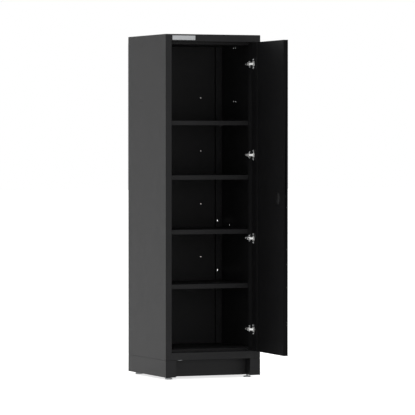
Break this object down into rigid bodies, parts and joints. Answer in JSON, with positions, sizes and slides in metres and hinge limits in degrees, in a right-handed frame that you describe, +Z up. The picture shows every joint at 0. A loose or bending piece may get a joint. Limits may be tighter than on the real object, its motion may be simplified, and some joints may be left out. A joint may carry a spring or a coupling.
{
  "type": "tool chest side locker",
  "caption": "Tall charcoal steel side locker with an inset hinged door standing open, sheet shelves, round lock and plinth on levelling feet.",
  "frame": {"origin": "centre of the cabinet's footprint, on the floor under its feet", "axes": "+Z up, -Y out of the front, +X to the right seen from the front"},
  "size_m": [0.6, 1.1203, 2.015],
  "materials": {
    "carcass_coat": "satin powder coat",
    "door_coat": "satin powder coat",
    "zinc_steel": "zinc plated",
    "nickel_steel": "nickel plated",
    "chrome_lock": "satin chrome",
    "black_moulding": "matt moulding",
    "rubber_buffer": "matt",
    "grey_moulding": "matt moulding",
    "plate_face": "bare satin"
  },
  "bodies": {
    "carcass": {"back_panel": "carcass_coat", "back_rivets": "zinc_steel", "bottom_rail": "carcass_coat", "door_buffers": "rubber_buffer", "floor_pan": "carcass_coat", "foot_brackets": "zinc_steel", "foot_nuts": "zinc_steel", "hinge_arms": "nickel_steel", "hinge_plate_screws": "zinc_steel", "hinge_plates": "nickel_steel", "kick_clip": "zinc_steel", "kick_panel": "carcass_coat", "name_plate": "plate_face", "plinth_left": "carcass_coat", "plinth_rear": "carcass_coat", "plinth_right": "carcass_coat", "rear_post_left": "carcass_coat", "rear_post_right": "carcass_coat", "roof_pan": "carcass_coat", "shelf_1": "carcass_coat", "shelf_2": "carcass_coat", "shelf_3": "carcass_coat", "shelf_4": "carcass_coat", "shelf_clips": "zinc_steel", "shelf_stiffeners": "carcass_coat", "side_panel_left": "carcass_coat", "side_panel_right": "carcass_coat", "strike_plate": "zinc_steel", "top_cap": "carcass_coat"},
    "door": {"door_skin": "door_coat", "door_inner_panel": "door_coat", "door_hinge_strip": "door_coat", "door_spine": "door_coat", "door_edge_strip": "black_moulding", "hinge_cups": "nickel_steel", "cup_screws": "zinc_steel", "lock_dish": "black_moulding", "bar_guides": "black_moulding", "lock_cover": "door_coat"},
    "lock_handle": {"turn_handle": "chrome_lock", "lock_pinion": "zinc_steel"},
    "lock_key": {"key_plug": "chrome_lock"},
    "upper_bar": {"rod_upper": "zinc_steel"},
    "lower_bar": {"rod_lower": "zinc_steel"},
    "shoot_bolt": {"side_bolt": "zinc_steel"},
    "inner_links": {"hinge_inner_links": "nickel_steel"},
    "outer_links": {"hinge_outer_links": "nickel_steel"},
    "foot_front_left": {"foot_pad_front_left": "grey_moulding", "foot_stud_front_left": "zinc_steel"},
    "foot_front_right": {"foot_pad_front_right": "grey_moulding", "foot_stud_front_right": "zinc_steel"},
    "foot_rear_left": {"foot_pad_rear_left": "grey_moulding", "foot_stud_rear_left": "zinc_steel"},
    "foot_rear_right": {"foot_pad_rear_right": "grey_moulding", "foot_stud_rear_right": "zinc_steel"}
  },
  "joints": [
    {"name": "door_swing", "type": "hinge", "parent": "carcass", "child": "door", "pos_m": [0.2666, -0.2941, 1.0655], "axis": [0, 0, 1], "range_deg": [-87, 13]},
    {"name": "inner_link_turn", "type": "hinge", "parent": "carcass", "child": "inner_links", "pos_m": [0.246, -0.262, 1.0655], "axis": [0, 0, 1], "range_deg": [-84.5, 13.5]},
    {"name": "outer_link_turn", "type": "hinge", "parent": "door", "child": "outer_links", "pos_m": [0.24705, -0.32322, 1.0655], "axis": [0, 0, 1], "range_deg": [-12.8, 80.2]},
    {"name": "handle_turn", "type": "hinge", "parent": "door", "child": "lock_handle", "pos_m": [0.24469, -0.71213, 1.06], "axis": [0.9986, -0.0523, 0], "range_deg": [0, 90]},
    {"name": "key_turn", "type": "hinge", "parent": "lock_handle", "child": "lock_key", "pos_m": [0.24469, -0.71213, 1.06], "axis": [0.9986, -0.0523, 0], "range_deg": [0, 90]},
    {"name": "upper_bar_slide", "type": "slide", "parent": "door", "child": "upper_bar", "axis": [0, 0, 1], "range_m": [0, 0.014]},
    {"name": "lower_bar_slide", "type": "slide", "parent": "door", "child": "lower_bar", "axis": [0, 0, -1], "range_m": [0, 0.0141]},
    {"name": "side_bolt_slide", "type": "slide", "parent": "door", "child": "shoot_bolt", "axis": [-0.0523, -0.9986, 0], "range_m": [0, 0.0141]},
    {"name": "foot_front_left_turn", "type": "hinge", "parent": "carcass", "child": "foot_front_left", "pos_m": [-0.25, -0.22, 0.02], "axis": [0, 0, 1], "continuous": true},
    {"name": "foot_front_right_turn", "type": "hinge", "parent": "carcass", "child": "foot_front_right", "pos_m": [0.25, -0.22, 0.02], "axis": [0, 0, 1], "continuous": true},
    {"name": "foot_rear_left_turn", "type": "hinge", "parent": "carcass", "child": "foot_rear_left", "pos_m": [-0.25, 0.25, 0.02], "axis": [0, 0, 1], "continuous": true},
    {"name": "foot_rear_right_turn", "type": "hinge", "parent": "carcass", "child": "foot_rear_right", "pos_m": [0.25, 0.25, 0.02], "axis": [0, 0, 1], "continuous": true}
  ],
  "couplings": [
    {"joint": "inner_link_turn", "follows": "door_swing", "ratio": 0.96},
    {"joint": "outer_link_turn", "follows": "door_swing", "ratio": -0.911},
    {"joint": "handle_turn", "follows": "upper_bar_slide", "rad_per_m": 112.19},
    {"joint": "lower_bar_slide", "follows": "upper_bar_slide", "ratio": 1},
    {"joint": "side_bolt_slide", "follows": "upper_bar_slide", "ratio": 1}
  ]
}
